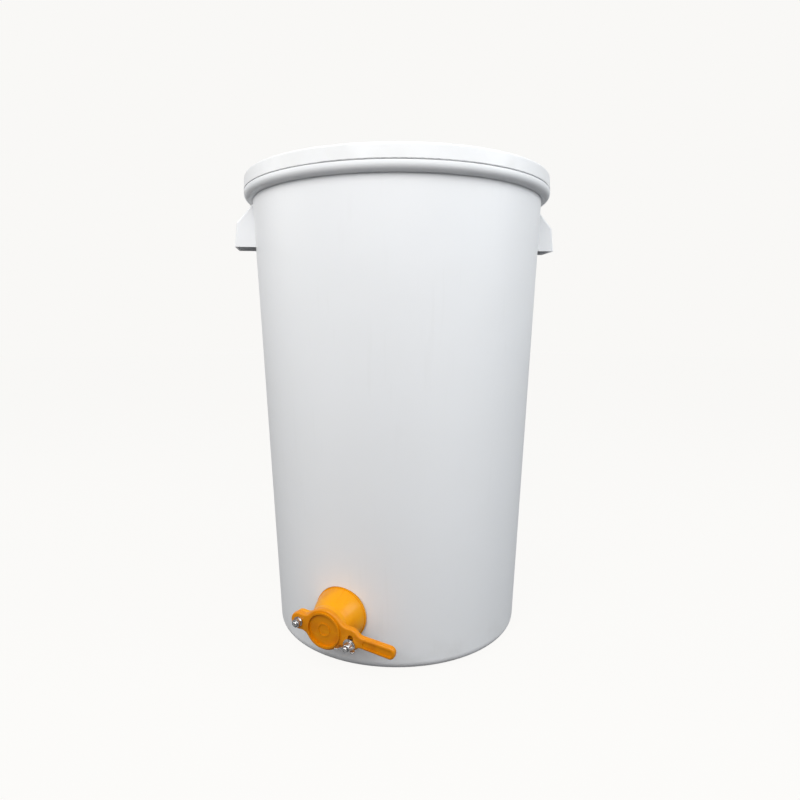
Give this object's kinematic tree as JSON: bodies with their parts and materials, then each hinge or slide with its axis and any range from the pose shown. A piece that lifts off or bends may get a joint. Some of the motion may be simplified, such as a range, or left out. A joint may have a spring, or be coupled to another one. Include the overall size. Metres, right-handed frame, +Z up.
{
  "type": "honey settling tank",
  "caption": "Tapered white plastic tub with a push-on lid, lug handles and an amber swing-plate honey gate at its foot.",
  "frame": {"origin": "centre of the tub's flat base, on the floor", "axes": "+Z up along the tub's axis, -Y the way the honey gate points"},
  "size_m": [0.4358, 0.46, 0.65],
  "materials": {
    "tub": "white food-grade polyethylene, smooth satin",
    "lid": "white food-grade polyethylene, smooth satin",
    "gate": "amber moulded plastic, semi-gloss",
    "lever": "amber moulded plastic, semi-gloss",
    "gasket": "pale food-grade rubber",
    "seal": "black rubber ring",
    "steel": "bright stainless steel",
    "wing_nut": "bright stainless casting"
  },
  "bodies": {
    "tub": {"tank": "tub", "gate_body": "gate", "outer_gasket": "gasket", "inner_gasket": "gasket", "back_nut": "gate", "spout_seal": "seal", "pivot_bolt": "steel", "pivot_washer": "steel", "pivot_nut": "steel", "clamp_bolt": "steel"},
    "lid": {"lid": "lid"},
    "lever": {"gate_lever": "lever"},
    "clamp": {"clamp_washer": "steel"},
    "wing": {"wing_nut": "wing_nut"}
  },
  "joints": [
    {"name": "lid_lift", "type": "slide", "parent": "tub", "child": "lid", "axis": [0, 0, 1], "range_m": [0, 0.08]},
    {"name": "gate_swing", "type": "hinge", "parent": "tub", "child": "lever", "pos_m": [-0.03598, -0.22, 0.07611], "axis": [0, -0.999, -0.0445], "range_deg": [0, 90]},
    {"name": "clamp_travel", "type": "slide", "parent": "tub", "child": "clamp", "axis": [0, -0.999, -0.0445], "range_m": [0, 0.00305]},
    {"name": "wing_turn", "type": "hinge", "parent": "clamp", "child": "wing", "pos_m": [0.03611, -0.23126, 0.05926], "axis": [0, -0.999, -0.0445], "range_deg": [0, 1080]}
  ],
  "couplings": [
    {"joint": "clamp_travel", "follows": "wing_turn", "m_per_rad": 0.00015915}
  ]
}
